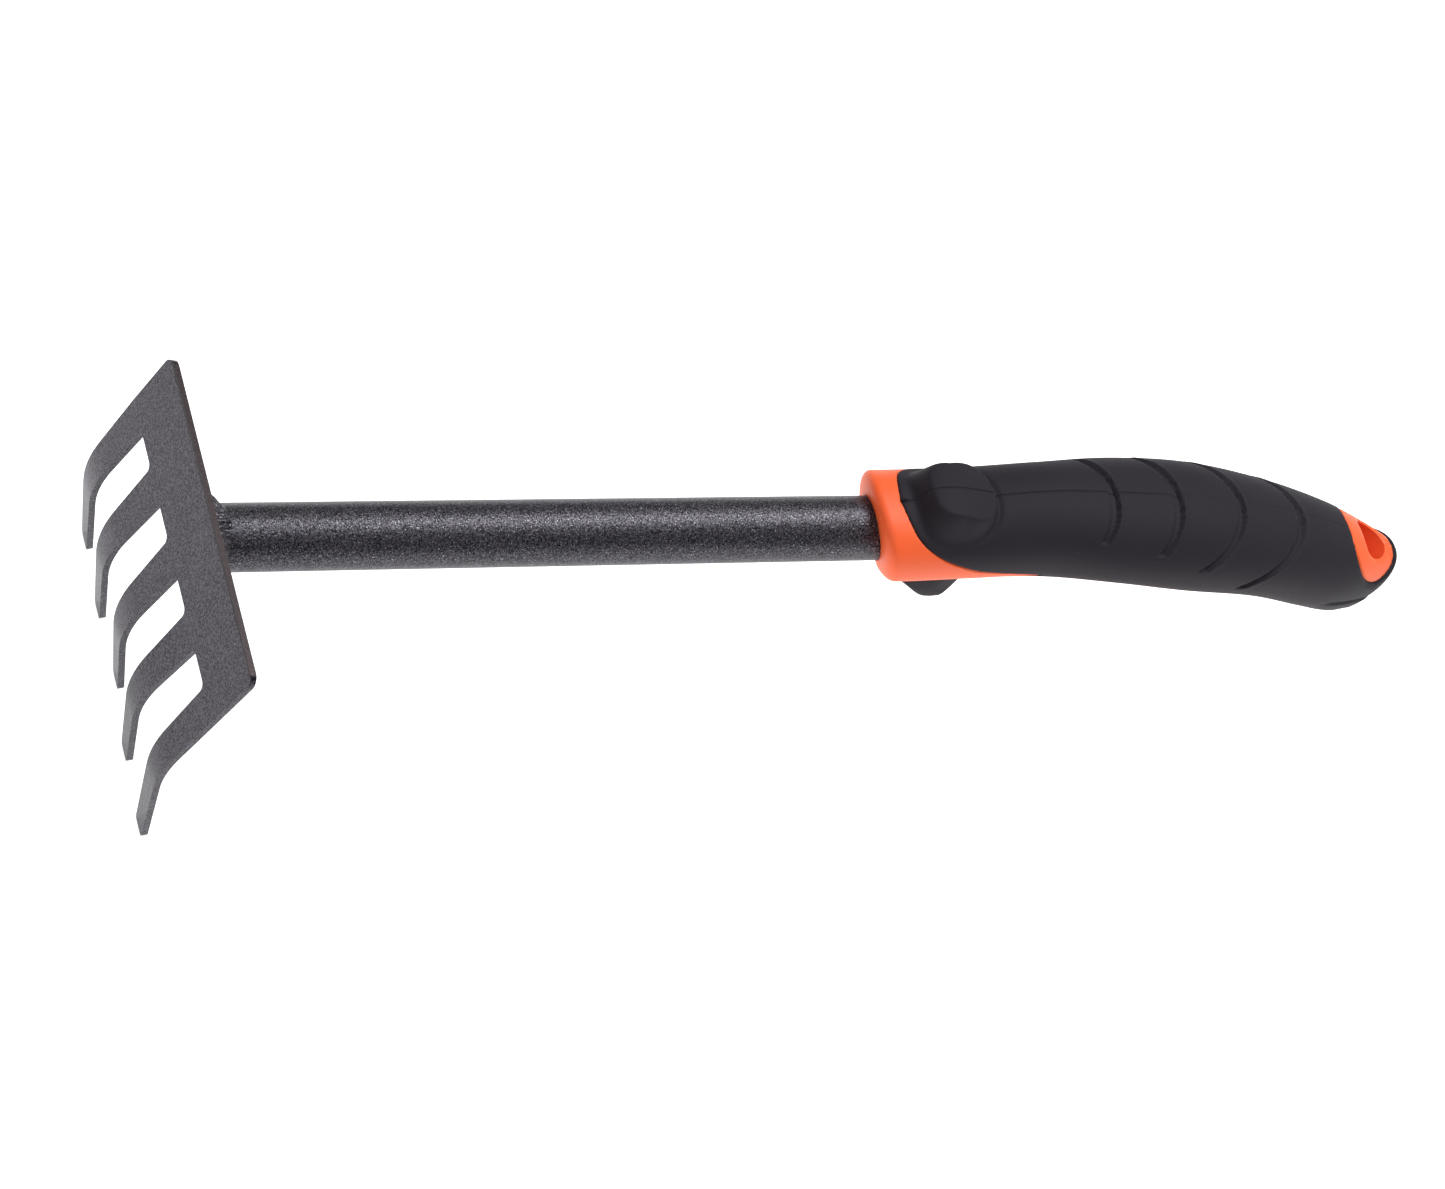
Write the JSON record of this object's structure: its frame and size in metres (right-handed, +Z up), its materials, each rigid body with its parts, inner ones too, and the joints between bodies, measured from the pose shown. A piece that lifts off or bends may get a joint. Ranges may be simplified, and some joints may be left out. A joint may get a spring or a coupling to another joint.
{
  "type": "hand rake",
  "caption": "Short-handled garden hand rake: flat-tined stamped steel head on a tubular shaft, with a soft-grip moulded handle and a hanging hole.",
  "frame": {"origin": "where the shaft's axis meets the front face of the head", "axes": "+X along the shaft from the handle towards the head, +Y to the left of a person looking along +X, +Z up; the tines point down"},
  "size_m": [0.3966, 0.0984, 0.092],
  "materials": {
    "hammertone_steel": "dark grey hammertone stoving enamel, satin gloss, on pressed steel sheet",
    "hammertone_tube": "dark grey hammertone stoving enamel with silver flecks, on steel tube",
    "orange_plastic": "orange moulded polypropylene, fine satin",
    "black_rubber": "matt black soft-touch thermoplastic rubber"
  },
  "bodies": {
    "root": {"rake_head": "hammertone_steel", "weld_bead": "hammertone_steel", "shaft_tube": "hammertone_tube", "handle_core": "orange_plastic", "grip_overmould": "black_rubber"}
  },
  "joints": []
}
